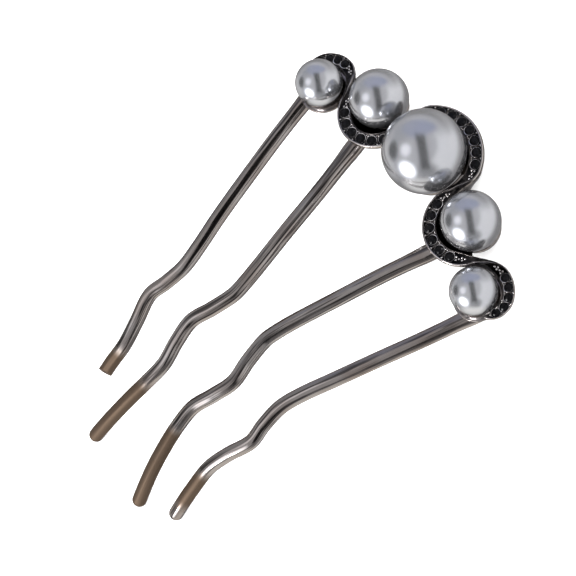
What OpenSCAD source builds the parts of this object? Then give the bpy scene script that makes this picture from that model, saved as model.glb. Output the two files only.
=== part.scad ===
// Hair fork: a wave-shaped channel weaves round five pearls, set with black stones, over four wavy teeth.
// The head is drawn flat on its back with the middle pearl over the origin, then the whole fork is laid
// down, pearls up, on the back edge of its head and the tips of its teeth.

/* [Pearls] */
// Diameter of the middle pearl
pearl_big_d = 14; // [13:0.5:15]
// Diameter of the two pearls beside the middle one
pearl_mid_d = 10; // [9:0.5:11]
// Diameter of the two outer pearls
pearl_small_d = 8; // [7:0.5:9]
// Free space between the middle pearl and the next one, in plan
inner_space = 2.1; // [1.9:0.1:3]
// Free space between the next pearl and the outer one, in plan
outer_space = 2.7; // [2.4:0.1:3.5]
// How far the row turns towards the teeth after the middle pearl, in degrees
inner_turn = 3; // [0:1:8]
// How far the row turns towards the teeth after the next pearl, in degrees
outer_turn = 33; // [28:1:38]
// Clearance between a pearl and its cup
pearl_gap = 0.06; // [0.05:0.01:0.15]

/* [Cups] */
// Metal under the middle pearl
big_seat_t = 0.8; // [0.6:0.1:1.2]
// Metal under the other pearls
seat_t = 0.6; // [0.5:0.1:1]
// Wall of a cup at its lip
cup_wall = 0.35; // [0.3:0.05:0.5]
// How much wider the lips of the two outer cups are
small_cup_brim = 0.9; // [0.6:0.1:1.1]
// Diameter of the peg that holds a pearl
peg_d = 1.2; // [1:0.1:1.5]
// Length of the peg inside the pearl
peg_len = 2.5; // [2:0.1:3]
// Clearance round the peg and at its end
peg_gap = 0.1; // [0.05:0.01:0.15]

/* [Channel] */
// Distance from the middle pearl to the line of its stones
big_ring_gap = 1.25; // [1.2:0.05:1.5]
// Distance from the next pearls to the line of their stones
mid_ring_gap = 0.9; // [0.85:0.05:1.1]
// Distance from the outer pearls to the line of their stones
small_ring_gap = 0.95; // [0.9:0.05:1.2]
// Shift of the middle crescent towards the teeth
big_ring_shift = 0.35; // [0:0.05:0.6]
// Shift of the next crescents towards the teeth
mid_ring_shift = 1.05; // [0.8:0.05:1.2]
// Shift of the next crescents towards the middle
mid_ring_inward = 0.75; // [0.5:0.05:0.8]
// Shift of the outer crescents away from the teeth
small_ring_shift = 0.4; // [0.2:0.05:0.6]
// Height of the rim at the middle of the head
rim_z = 5.3; // [4.8:0.1:5.8]
// How much lower the rim is at the outer pearls
rim_fall = 2; // [1.5:0.1:2.4]
// Height of the necks under their rims
neck_h = 3; // [2.5:0.1:3.2]
// Width of the smooth necks between the crescents
neck_w = 1.4; // [1.2:0.05:1.5]
// Width of the outer rim
outer_rim = 0.3; // [0.2:0.05:0.45]
// Width of the outer rim at the outer crescents
outer_rim_small = 0.15; // [0.1:0.05:0.3]
// Width of the inner rim
inner_rim = 0.2; // [0.15:0.05:0.25]
// How far the rims stand over the floor of the groove
groove_depth = 0.35; // [0.25:0.05:0.45]
// How far a neck is crowned over the rims
neck_crown = 0.15; // [0.05:0.05:0.25]
// Distance from the stones' seats to the walls of the groove
groove_space = 0.05; // [0.04:0.01:0.1]
// How far the channel curls in under the outer pearls at its ends
tail_curl = 1.8; // [1.2:0.1:2]

/* [Stones] */
// Diameter of a stone
stone_d = 1.65; // [1.5:0.05:1.7]
// Diameter of a stone in the outer crescents
stone_small_d = 1.5; // [1.3:0.05:1.55]
// Height of the cut top over the girdle
stone_crown = 0.32; // [0.25:0.01:0.4]
// Thickness of the girdle
stone_girdle = 0.1; // [0.06:0.01:0.14]
// Depth of the pointed back
stone_back = 0.6; // [0.5:0.05:0.7]
// Clearance between a stone and its seat
stone_gap = 0.06; // [0.05:0.01:0.1]

/* [Teeth] */
// Thickness of a tooth at its root
tooth_root_d = 2.7; // [2.5:0.05:3]
// Thickness of a tooth at its tip
tooth_tip_d = 2.5; // [2.2:0.05:2.7]
// Reach of the outer teeth from their roots
outer_reach = 59.4; // [54:0.2:62]
// Reach of the inner teeth from their roots
inner_reach = 63.4; // [60:0.2:68]
// Height of the roots of the outer teeth over the back of the head
outer_root_z = 0.5; // [0.3:0.1:1]
// Height of the roots of the inner teeth over the back of the head
inner_root_z = 1.1; // [0.9:0.1:1.5]
// Fall of a tooth for each millimetre of its length
tooth_fall = 0.08; // [0.06:0.01:0.1]
// How far the tips of the inner teeth bend down
tip_bend = 12.6; // [11:0.1:15]
// Extra width on each side of a root where it meets the head
root_web = 0.2; // [0.1:0.05:0.5]
// Length over which a root narrows
root_web_len = 5; // [3:0.1:6]
// How much the left outer tooth is cut short
left_cut = 3.6; // [2:0.1:4]
// Slant of that cut, in degrees
left_cut_slant = 25; // [10:1:35]
// Distance of an outer root from the middle of its pearl, away from the middle of the fork
outer_root_out = 1.45; // [1:0.05:2]
// How far an outer root stands inside the edge of its pearl
outer_root_in = 1.3; // [1:0.1:1.6]
// Distance of an inner root from the middle of its crescent, towards the middle of the fork
inner_root_in = 1.55; // [1:0.05:2]
// Distance of an inner root below the line of the stones
inner_root_below = 2.15; // [1.8:0.05:2.4]
// How far an outer tooth runs on inside the head
outer_sink = 1.2; // [0.8:0.1:2]
// How far an inner tooth runs on inside the head
inner_sink = 2.7; // [2.2:0.1:3.2]

/* [Hidden] */
$fn = 64;
metal_colour = "#5b5754";
pearl_colour = "#aab0b8";
stone_colour = "#151515";
PEARL_NAMES = ["pearl_middle", "pearl_inner_left", "pearl_inner_right", "pearl_outer_left", "pearl_outer_right"];

// Pearl centres in plan, right half
big_r = pearl_big_d / 2;
mid_r = pearl_mid_d / 2;
small_r = pearl_small_d / 2;
big_c = [0, 0];
mid_c = big_c + (big_r + mid_r + inner_space) * [cos(inner_turn), -sin(inner_turn)];
small_c = mid_c + (mid_r + small_r + outer_space) * [cos(outer_turn), -sin(outer_turn)];

// Rows: [centre, radius, metal under it, side, extra width of the cup's lip]
pearl_rows = [
    [big_c, big_r, big_seat_t, 1, 0],
    [mid_c, mid_r, seat_t, -1, 0],
    [mid_c, mid_r, seat_t, 1, 0],
    [small_c, small_r, seat_t, -1, small_cup_brim],
    [small_c, small_r, seat_t, 1, small_cup_brim]
];

// Crescents: centre and radius of the line that the stones follow
big_ring_c = big_c - [0, big_ring_shift];
mid_ring_c = mid_c - [mid_ring_inward, mid_ring_shift];
small_ring_c = small_c + [0, small_ring_shift];
big_ring_r = big_r + big_ring_gap;
mid_ring_r = mid_r + mid_ring_gap;
small_ring_r = small_r + small_ring_gap;

// Stretch of each crescent that has its full width, in degrees
big_ends = [90, 38];
mid_ends = [192, 308];
small_ends = [88, -2];
// Where the outer crescents start to curl in, in degrees
curl_from = 42;
// Where the channel ends under the outer pearl, and its width there as a share of a neck
tail_end = -26;
tail_share = 0.6;
// Feet of the walls: how far they stand in from the line, as shares of the radius of its turn
web_share = 0.85;
bowl_share = 0.3;
step_deg = 8;
neck_steps = 8;
tail_steps = 11;
// How soon the inner wall draws in towards a neck, a power of the fullness
foot_fade = 3;

// Radius at angle a of a crescent of radius r that curls in by the given length at its end
function curled(r, curl, a) = r - curl * pow(max(0, (curl_from - a) / (curl_from - tail_end)), 2);
// Rows of stones: [ring centre, ring radius, curl, side, angle of the first, angle between stones, count, diameter]
stone_rows = [
    [big_ring_c, big_ring_r, 0, 1, 43, 14.6, 8, stone_d],
    [mid_ring_c, mid_ring_r, 0, -1, -55.7, -20.2, 6, stone_d],
    [mid_ring_c, mid_ring_r, 0, 1, -60.6, -20.6, 6, stone_d],
    [small_ring_c, small_ring_r, tail_curl, -1, 6, 18.6, 5, stone_small_d],
    [small_ring_c, small_ring_r, tail_curl, 1, 4, 19.4, 5, stone_small_d]
];
// Places of the stones: [x, y, diameter]
stone_places = [
    for (row = stone_rows)
        for (i = [0:row[6] - 1])
            let (a = row[4] + i * row[5], r = curled(row[1], row[2], a))
            [row[3] * (row[0].x + r * cos(a)), row[0].y + r * sin(a), row[7]]
];
STONE_NAMES = [for (i = [0:len(stone_places) - 1]) str("stone_", i < 9 ? "0" : "", i + 1)];
stone_sides = 16;
table_share = 0.55;
// Radius at the bottom of a stone's seat, as a share of the radius at its top
seat_point = 0.15;

// Height of the rim over the back of the head at x, and its slope there
function rim_at(x) = rim_z - rim_fall * pow(x / small_c.x, 2);
function rim_slope(x) = -2 * rim_fall * x / pow(small_c.x, 2);

// Half width of the groove and width of the outer rim: [at the crescents, at the outer crescents]
groove_half = stone_d / 2 + stone_gap + groove_space;
groove_half_small = stone_small_d / 2 + stone_gap + groove_space;
full_width = [groove_half, outer_rim];
small_width = [groove_half_small, outer_rim_small];

// Path of the channel: [x, y, fullness, side of the pearl, radius of the crescent, [groove half, outer rim]]
function arc_run(c, r, a0, a1, side, width) =
    let (n = ceil(abs(a1 - a0) / step_deg))
    [
        for (i = [0:n])
            let (a = a0 + (a1 - a0) * i / n)
            [c.x + r * cos(a), c.y + r * sin(a), 1, side, r, width]
    ];
// Direction of travel on a ring, clockwise for side -1
function travel(a, side) = side * [-sin(a), cos(a)];
// Smooth curve between two points with given directions, u from 0 to 1
function hermite(p0, d0, p1, d1, u) =
    let (k = norm(p1 - p0))
    (2 * pow(u, 3) - 3 * pow(u, 2) + 1) * p0 + (pow(u, 3) - 2 * pow(u, 2) + u) * k * d0
    + (3 * pow(u, 2) - 2 * pow(u, 3)) * p1 + (pow(u, 3) - pow(u, 2)) * k * d1;
function neck_run(c0, r0, a0, s0, w0, c1, r1, a1, s1, w1) =
    let (p0 = c0 + r0 * [cos(a0), sin(a0)], p1 = c1 + r1 * [cos(a1), sin(a1)])
    [
        for (i = [1:neck_steps - 1])
            let (u = i / neck_steps, p = hermite(p0, travel(a0, s0), p1, travel(a1, s1), u), near = u < 0.5)
            [p.x, p.y, pow(cos(180 * u), 2), near ? s0 : s1, near ? r0 : r1, near ? w0 : w1]
    ];
tail_run = [
    for (i = [1:tail_steps])
        let (
            u = i / tail_steps,
            a = curl_from + (tail_end - curl_from) * u,
            r = curled(small_ring_r, tail_curl, a),
            f = min(1, (a - tail_end) / (small_ends[1] - tail_end))
        )
        [small_ring_c.x + r * cos(a), small_ring_c.y + r * sin(a), f, -1, small_ring_r, small_width]
];
right_run = concat(
    arc_run(big_ring_c, big_ring_r, big_ends[0], big_ends[1], -1, full_width),
    neck_run(big_ring_c, big_ring_r, big_ends[1], -1, full_width, mid_ring_c, mid_ring_r, mid_ends[0], 1, full_width),
    arc_run(mid_ring_c, mid_ring_r, mid_ends[0], mid_ends[1], 1, full_width),
    neck_run(mid_ring_c, mid_ring_r, mid_ends[1], 1, full_width, small_ring_c, small_ring_r, small_ends[0], -1, small_width),
    arc_run(small_ring_c, small_ring_r, small_ends[0], curl_from, -1, small_width),
    tail_run
);
last = len(right_run) - 1;
wave = concat(
    [for (i = [last:-1:1]) let (p = right_run[i]) [-p.x, p.y, p[2], p[3], p[4], p[5]]],
    right_run
);

function blend(a, b, f) = a + (b - a) * f;
// Walls of the channel, rows: [share of the way from rim to foot, share of the height]
outer_wall = [[0, 1], [-0.03, 0.9], [0.06, 0.76], [0.26, 0.54], [0.58, 0.28], [1, 0]];
inner_wall = [[0, 1], [0.06, 0.74], [0.3, 0.36], [0.62, 0.17], [1, 0.1], [1, 0.04]];
// Rise of the rim's inner edge, as a share of the rim's width
rim_rise = 0.1;
// Half of a section, from the floor of the groove over the rim and down the wall: [distance, height]
function half_section(f, rim, groove, foot, fade, wall, h) =
    let (
        edge = blend(neck_w / 2, groove + rim, f),
        foot_x = blend(neck_w / 2, foot, pow(f, fade)),
        base = blend(h - neck_h, 0, f)
    )
    concat(
        [[edge - rim, h - groove_depth * f + neck_crown * (1 - f)], [edge - rim, h + rim * rim_rise]],
        [for (w = wall) [blend(edge, foot_x, w[0]), blend(base, h, w[1])]]
    );
// Section of the channel: [distance to the left, height], from the right foot up and over to the left foot
function section(f, side, turn_r, width, h) =
    let (
        inner = half_section(f, inner_rim, width[0], turn_r * web_share, foot_fade, inner_wall, h),
        outer = half_section(f, width[1], width[0], -turn_r * bowl_share, 1, outer_wall, h),
        l = side > 0 ? inner : outer,
        r = side > 0 ? outer : inner,
        n = len(l)
    )
    concat([for (i = [n - 1:-1:0]) [-r[i].x, r[i].y]], l);

function unit(v) = v / norm(v);
function plan(i) = [wave[i].x, wave[i].y];
wave_end = len(wave) - 1;
wave_dirs = [for (i = [0:wave_end]) unit(plan(min(i + 1, wave_end)) - plan(max(i - 1, 0)))];
// A turn between neighbours below this counts as straight, in degrees
least_turn = 0.1;
// Distance at which section i would meet the next one
function meeting(i) =
    let (k = min(max(i, 0), wave_end - 1), turn = abs(asin(cross(wave_dirs[k], wave_dirs[k + 1]))))
    norm(plan(k + 1) - plan(k)) * 180 / PI / max(turn, least_turn);
// Radius of the turn at section i, no larger than its crescent's, so that neighbours never cross
function turn_at(i) = min(wave[i][4], meeting(i - 2), meeting(i - 1), meeting(i), meeting(i + 1));
function wave_ring(i) =
    let (
        p = wave[i],
        t = wave_dirs[i],
        edge_share = (i == 0 || i == wave_end) ? tail_share : 1,
        s = section(p[2], p[3], turn_at(i), p[5], rim_at(p.x))
    )
    [for (q = s) [p.x - t.y * q.x * edge_share, p.y + t.x * q.x * edge_share, q.y]];

// Solid through rings of equal point count, closed at each end by a fan round the ring's middle
function middle(ring) = [for (k = [0:2]) (min([for (p = ring) p[k]]) + max([for (p = ring) p[k]])) / 2];
module swept(rings) {
    n = len(rings[0]);
    m = len(rings);
    polyhedron(
        points = concat([for (r = rings) for (p = r) p], [middle(rings[0]), middle(rings[m - 1])]),
        faces = concat(
            [for (j = [0:m - 2]) for (i = [0:n - 1]) [j * n + i, j * n + (i + 1) % n, (j + 1) * n + (i + 1) % n]],
            [for (j = [0:m - 2]) for (i = [0:n - 1]) [j * n + i, (j + 1) * n + (i + 1) % n, (j + 1) * n + i]],
            [for (i = [0:n - 1]) [m * n, (i + 1) % n, i]],
            [for (i = [0:n - 1]) [m * n + 1, (m - 1) * n + i, (m - 1) * n + (i + 1) % n]]
        ),
        convexity = 12
    );
}

// Teeth: the waves, rows: [share of the reach, distance from the middle as a share of the root's]
outer_wave = [
    [0, 1], [0.135, 0.918], [0.269, 0.827], [0.404, 0.734], [0.505, 0.66], [0.572, 0.626], [0.64, 0.636],
    [0.698, 0.657], [0.774, 0.596], [0.842, 0.554], [0.91, 0.552], [1, 0.55]
];
inner_wave = [
    [0, 1], [0.126, 0.824], [0.252, 0.671], [0.379, 0.511], [0.442, 0.448], [0.473, 0.441], [0.536, 0.503],
    [0.599, 0.586], [0.663, 0.517], [0.726, 0.417], [0.789, 0.43], [0.852, 0.477], [0.915, 0.534], [1, 0.625]
];
// Roots in plan: under the outer pearl, and at the foot of the next crescent
outer_root = small_c + [outer_root_out, outer_root_in - small_r];
inner_root = mid_ring_c - [inner_root_in, mid_ring_r + inner_root_below];
bend_power = 4;
tooth_sides = 10;
tooth_steps = 32;
tip_steps = 3;
// Turn of the last ring of a rounded tip, in degrees
tip_turn = 84;

// Smooth curve through the rows of a table, straight before its first row
function slope_at(t, i) =
    let (a = t[max(i - 1, 0)], b = t[min(i + 1, len(t) - 1)])
    (b[1] - a[1]) / (b[0] - a[0]);
function curve(t, u) =
    u <= t[0][0] ? t[0][1] + slope_at(t, 0) * (u - t[0][0]) :
    let (
        i = max([for (k = [0:len(t) - 2]) if (u >= t[k][0]) k]),
        h = t[i + 1][0] - t[i][0],
        v = (u - t[i][0]) / h
    )
    (2 * pow(v, 3) - 3 * pow(v, 2) + 1) * t[i][1] + (pow(v, 3) - 2 * pow(v, 2) + v) * h * slope_at(t, i)
    + (3 * pow(v, 2) - 2 * pow(v, 3)) * t[i + 1][1] + (pow(v, 3) - pow(v, 2)) * h * slope_at(t, i + 1);

function tooth_at(table, root, root_z, reach, bend, u) =
    [root.x * curve(table, u), root.y - reach * u, root_z - tooth_fall * reach * u - bend * pow(max(u, 0), bend_power)];

// Resting: the foot of the middle crescent and the inner tips touch the floor
tip_r = tooth_tip_d / 2;
head_foot_y = big_ring_c.y + big_ring_r * (1 - bowl_share);
inner_tip_y = inner_root.y - inner_reach;
inner_tip_z = inner_root_z - tooth_fall * inner_reach - tip_bend;
span = head_foot_y - inner_tip_y;
lie = -asin(tip_r / norm([span, inner_tip_z])) - atan2(-inner_tip_z, span);
// The outer teeth bend until their tips touch the floor too
outer_tip_y = outer_root.y - outer_reach;
outer_tip_z = ((head_foot_y - outer_tip_y) * sin(lie) + tip_r) / cos(lie);
outer_bend = outer_root_z - tooth_fall * outer_reach - outer_tip_z;

// Middle of the length when lying, from the rim at the back of the head to the inner tips
crest = section(1, -1, big_ring_r, full_width, rim_at(0));
back_y = max([for (q = crest) (big_ring_c.y + big_ring_r + q.x) * cos(lie) - q.y * sin(lie)]);
front_y = inner_tip_y * cos(lie) - inner_tip_z * sin(lie) - tip_r;
floor_z = head_foot_y * sin(lie);

module laid() {
    translate([0, -(back_y + front_y) / 2, -floor_z]) rotate([lie, 0, 0]) children();
}

function tooth_ring(c, t, r, web) =
    let (s = unit(cross(t, [0, 0, 1])), n = cross(s, t))
    [for (i = [0:tooth_sides - 1]) let (a = 360 * i / tooth_sides) c + (r + web) * cos(a) * s + r * sin(a) * n];

module tooth(side, table, root, root_z, reach, bend, sink) {
    u0 = -sink / reach;
    us = [for (i = [0:tooth_steps]) u0 + (1 - u0) * i / tooth_steps];
    pts = [for (u = us) tooth_at(table, root, root_z, reach, bend, u)];
    dirs = [for (i = [0:tooth_steps]) unit(pts[min(i + 1, tooth_steps)] - pts[max(i - 1, 0)])];
    body_rings = [
        for (i = [0:tooth_steps])
            let (s = us[i] * reach)
            tooth_ring(pts[i], dirs[i], blend(tooth_root_d, tooth_tip_d, max(us[i], 0)) / 2,
                root_web * pow(max(0, 1 - max(s, 0) / root_web_len), 2))
    ];
    tip_rings = [
        for (k = [1:tip_steps])
            let (a = tip_turn * k / tip_steps)
            tooth_ring(pts[tooth_steps] + tip_r * sin(a) * dirs[tooth_steps], dirs[tooth_steps], tip_r * cos(a), 0)
    ];
    mirror([side > 0 ? 0 : 1, 0, 0]) swept(concat(body_rings, tip_rings));
}

// Side of the block that cuts the left outer tooth
cut_size = 12;
module left_outer_tooth() {
    cut_u = 1 - left_cut / outer_reach;
    c = tooth_at(outer_wave, outer_root, outer_root_z, outer_reach, outer_bend, cut_u);
    difference() {
        tooth(-1, outer_wave, outer_root, outer_root_z, outer_reach, outer_bend, outer_sink);
        translate([-c.x, c.y, c.z]) rotate([0, 0, left_cut_slant])
            translate([-cut_size / 2, -cut_size, -cut_size / 2]) cube(cut_size);
    }
}

// Cup under a pearl, of revolution. Profile, rows: [share of the way from the back's edge to the lip, share of the height]
cup_profile = [[0, 0], [0.6, 0.35], [1, 0.85], [1, 1]];
// Height of the lip below the middle of the pearl, and radius of the flat back, as shares of the pearl's radius
cup_lip = 0.66;
cup_back = 0.5;
module cup(row) {
    r = row[1];
    lip_z = row[2] + r - r * cup_lip;
    lip_r = r * sqrt(1 - pow(cup_lip, 2)) + cup_wall + row[4];
    side = [for (w = cup_profile) [blend(r * cup_back, lip_r, w[0]), lip_z * w[1]]];
    translate([row[3] * row[0].x, row[0].y, 0]) rotate_extrude() polygon(concat([[0, 0]], side, [[0, lip_z]]));
}

module pearl_space(row, gap) {
    translate([row[3] * row[0].x, row[0].y, row[2] + row[1]]) sphere(row[1] + gap);
}

module peg(row, gap) {
    translate([row[3] * row[0].x, row[0].y, row[2] / 2])
        cylinder(d = peg_d + 2 * gap, h = row[2] / 2 + peg_len + gap);
}

// Places a stone or its seat on the floor of the groove, square to the rim
module seated(place) {
    translate([place.x, place.y, rim_at(place.x) - groove_depth])
        rotate([0, atan(-rim_slope(place.x)), 0]) children();
}

// Tapered hole for a stone, with straight room for its girdle above the floor of the groove
module stone_seat(d) {
    r = d / 2 + stone_gap;
    below = stone_back + stone_gap;
    above = stone_girdle + 2 * stone_gap;
    rotate_extrude() polygon([[0, -below], [r * seat_point, -below], [r, 0], [r, above], [0, above]]);
}

// Round stone with a table, eight star facets, eight kites and a pointed back of sixteen facets
module cut_stone(d) {
    r = d / 2;
    step = 360 / stone_sides;
    lift = stone_gap;
    ring_low = [for (i = [0:stone_sides - 1]) [r * cos(i * step), r * sin(i * step), lift]];
    ring_high = [for (p = ring_low) p + [0, 0, stone_girdle]];
    table = [
        for (i = [0:stone_sides / 2 - 1])
            [r * table_share * cos(2 * i * step), r * table_share * sin(2 * i * step), lift + stone_girdle + stone_crown]
    ];
    n = stone_sides;
    half = n / 2;
    polyhedron(
        points = concat(ring_low, ring_high, table, [[0, 0, lift - stone_back]]),
        faces = concat(
            [for (i = [0:n - 1]) [i, n + i, n + (i + 1) % n, (i + 1) % n]],
            [for (i = [0:half - 1]) [2 * n + i, 2 * n + (i + 1) % half, n + 2 * i + 1]],
            [for (i = [0:half - 1]) [2 * n + i, n + 2 * i + 1, n + 2 * i]],
            [for (i = [0:half - 1]) [2 * n + i, n + 2 * i, n + (2 * i + n - 1) % n]],
            [[for (i = [half - 1:-1:0]) 2 * n + i]],
            [for (i = [0:n - 1]) [2 * n + half, i, (i + 1) % n]]
        )
    );
}

module fork() {
    color(metal_colour) laid() {
        difference() {
            union() {
                swept([for (i = [0:wave_end]) wave_ring(i)]);
                for (row = pearl_rows) cup(row);
                left_outer_tooth();
                tooth(1, outer_wave, outer_root, outer_root_z, outer_reach, outer_bend, outer_sink);
                tooth(-1, inner_wave, inner_root, inner_root_z, inner_reach, tip_bend, inner_sink);
                tooth(1, inner_wave, inner_root, inner_root_z, inner_reach, tip_bend, inner_sink);
            }
            for (row = pearl_rows) pearl_space(row, pearl_gap);
            for (p = stone_places) seated(p) stone_seat(p[2]);
        }
        for (row = pearl_rows) peg(row, 0);
    }
}

module pearl(row) {
    color(pearl_colour) laid() difference() {
        pearl_space(row, 0);
        peg(row, peg_gap);
    }
}

module stone(i) {
    color(stone_colour) laid() seated(stone_places[i]) cut_stone(stone_places[i][2]);
}

fork();
for (i = [0:len(pearl_rows) - 1]) pearl(pearl_rows[i]);
for (i = [0:len(stone_places) - 1]) stone(i);
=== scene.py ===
import math
import bpy
import numpy as np
from mathutils import Matrix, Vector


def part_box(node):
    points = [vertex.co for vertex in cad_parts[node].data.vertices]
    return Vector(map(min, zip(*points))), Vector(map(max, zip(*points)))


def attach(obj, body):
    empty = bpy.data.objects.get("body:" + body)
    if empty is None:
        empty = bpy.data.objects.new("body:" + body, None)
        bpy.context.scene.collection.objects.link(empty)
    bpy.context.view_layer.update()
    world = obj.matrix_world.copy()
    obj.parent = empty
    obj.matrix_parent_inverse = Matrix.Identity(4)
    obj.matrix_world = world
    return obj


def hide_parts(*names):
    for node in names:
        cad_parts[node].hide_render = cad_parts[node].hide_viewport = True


# Hair fork on a pale table: a cast channel set with black stones weaves round five pearls, over four teeth
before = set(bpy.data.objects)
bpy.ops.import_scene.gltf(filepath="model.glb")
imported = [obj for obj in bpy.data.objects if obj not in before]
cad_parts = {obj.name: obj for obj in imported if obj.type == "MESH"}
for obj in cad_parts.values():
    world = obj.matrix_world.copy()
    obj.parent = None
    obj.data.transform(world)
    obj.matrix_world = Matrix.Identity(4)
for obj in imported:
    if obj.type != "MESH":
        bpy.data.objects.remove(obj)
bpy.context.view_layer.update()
print("frame loaded")

# the head's own measures, in millimetres: the middle pearl is over the origin, and z = 0 is the head's back
headValues = {
    "middleSeat": 0.8,  # metal under the middle pearl
    "otherSeat": 0.6,  # metal under the other pearls
    "rimHeight": 5.3,  # top of the channel at the middle
    "rimFall": 2.0,  # how much lower it is at the outer pearls
    "pearlGap": 0.06,  # between a pearl and its metal
}


def pearlInFrame(node):
    # centre and radius of a pearl where the frame has it, in millimetres; its lowest point is drilled away
    low, high = (np.array(corner, float) * 1000 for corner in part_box(node))
    radius = (high[0] - low[0]) / 2
    return np.array([(low[0] + high[0]) / 2, (low[1] + high[1]) / 2, high[2] - radius]), radius


def layingDown():
    # the turn about X and the shift that take the head's measures to the frame, from the line between
    # the middle pearl and an outer one
    middle, middleRadius = pearlInFrame("pearl_middle")
    outer, outerRadius = pearlInFrame("pearl_outer_right")
    flat = math.hypot(outer[1] - middle[1], outer[2] - middle[2])
    drop = headValues["otherSeat"] + outerRadius - headValues["middleSeat"] - middleRadius
    inFrame = math.atan2(outer[2] - middle[2], outer[1] - middle[1])
    inHead = math.atan2(drop, -math.sqrt(flat ** 2 - drop ** 2))
    turn = inFrame - inHead
    turn = math.atan2(math.sin(turn), math.cos(turn))
    sine, cosine = math.sin(turn), math.cos(turn)
    rotation = np.array([[1, 0, 0], [0, cosine, -sine], [0, sine, cosine]])
    shift = middle - rotation @ np.array([0, 0, headValues["middleSeat"] + middleRadius])
    return rotation, shift


headTurn, headShift = layingDown()


def toFrame(points):
    # head measures in millimetres to the frame in metres
    return (np.asarray(points, float) @ headTurn.T + headShift) / 1000


def pearlInHead(node):
    # centre and radius of a pearl in the head's measures
    centre, radius = pearlInFrame(node)
    return headTurn.T @ (centre - headShift), radius


pearls = {name: pearlInHead(name) for name in (
    "pearl_middle", "pearl_inner_left", "pearl_inner_right", "pearl_outer_left", "pearl_outer_right")}


def rimAt(x):
    # the rim falls with the square of the distance from the middle
    return headValues["rimHeight"] - headValues["rimFall"] * (x / pearls["pearl_outer_right"][0][0]) ** 2


def clearOfPearls(points):
    # what would stand in a pearl is lowered to the hollow under it, as a reamer would leave it
    points = points.copy()
    for centre, radius in pearls.values():
        free = radius + headValues["pearlGap"]
        aside = ((points[..., :2] - centre[:2]) ** 2).sum(axis=-1)
        hollow = centre[2] - np.sqrt(np.maximum(free ** 2 - aside, 0))
        points[..., 2] = np.where(aside < free ** 2, np.minimum(points[..., 2], hollow), points[..., 2])
    return points


# Meshes: arrays of points become pieces of the scene


def meshPiece(name, points, faces, material, **shades):
    # points in head millimetres and faces as index arrays with 3 or 4 columns; each further argument is
    # a shade that the points carry and the finish reads
    loops = np.concatenate([block.ravel() for block in faces]).astype(np.int32)
    sizes = np.concatenate([np.full(len(block), block.shape[1]) for block in faces]).astype(np.int32)
    starts = (np.cumsum(sizes) - sizes).astype(np.int32)
    mesh = bpy.data.meshes.new(name)
    mesh.vertices.add(len(points))
    mesh.vertices.foreach_set("co", toFrame(points).astype(np.float32).ravel())
    mesh.loops.add(len(loops))
    mesh.loops.foreach_set("vertex_index", loops)
    mesh.polygons.add(len(sizes))
    mesh.polygons.foreach_set("loop_start", starts)
    mesh.polygons.foreach_set("use_smooth", np.full(len(sizes), True))
    for label, values in shades.items():
        values = np.asarray(values, np.float32)
        single = values.ndim == 1
        layer = mesh.attributes.new(label, "FLOAT" if single else "FLOAT_VECTOR", "POINT")
        layer.data.foreach_set("value" if single else "vector", values.ravel())
    mesh.update(calc_edges=True)
    mesh.validate()
    mesh.materials.append(material)
    piece = bpy.data.objects.new(name, mesh)
    bpy.context.scene.collection.objects.link(piece)
    return piece


def tubeFaces(rows, columns):
    # rings of points joined into a tube whose ends are fans round one pole each, kept after the rings
    index = np.arange(rows * columns).reshape(rows, columns)
    right = np.roll(index, -1, axis=1)
    walls = np.stack([index[:-1], right[:-1], right[1:], index[1:]], axis=-1).reshape(-1, 4)
    first, last = rows * columns, rows * columns + 1
    ends = np.concatenate([
        np.stack([np.full(columns, first), right[0], index[0]], axis=-1),
        np.stack([np.full(columns, last), index[-1], right[-1]], axis=-1)])
    return walls, ends


def outward(points, walls, ends):
    # six times the volume between the faces and the origin says which way they point
    tri = np.concatenate([walls[:, [0, 1, 2]], walls[:, [0, 2, 3]], ends])
    a, b, c = points[tri[:, 0]], points[tri[:, 1]], points[tri[:, 2]]
    if np.einsum("ij,ij->", a, np.cross(b, c)) < 0:
        return walls[:, ::-1], ends[:, ::-1]
    return walls, ends


def tubePart(rings, poles=None):
    # rings of shape (rows, columns, 3) and its two poles as points and faces that point outwards
    rows, columns = rings.shape[:2]
    if poles is None:
        poles = (rings[0].mean(axis=0), rings[-1].mean(axis=0))
    points = np.concatenate([rings.reshape(-1, 3), np.stack(poles)])
    walls, ends = tubeFaces(rows, columns)
    return (points,) + outward(points - points.mean(axis=0), walls, ends)


def joined(parts):
    # several parts as one set of points and faces
    points, walls, ends, start = [], [], [], 0
    for part in parts:
        points.append(part[0])
        walls.append(part[1] + start)
        ends.append(part[2] + start)
        start += len(part[0])
    return np.concatenate(points), [np.concatenate(walls), np.concatenate(ends)]


# Finishes


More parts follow.
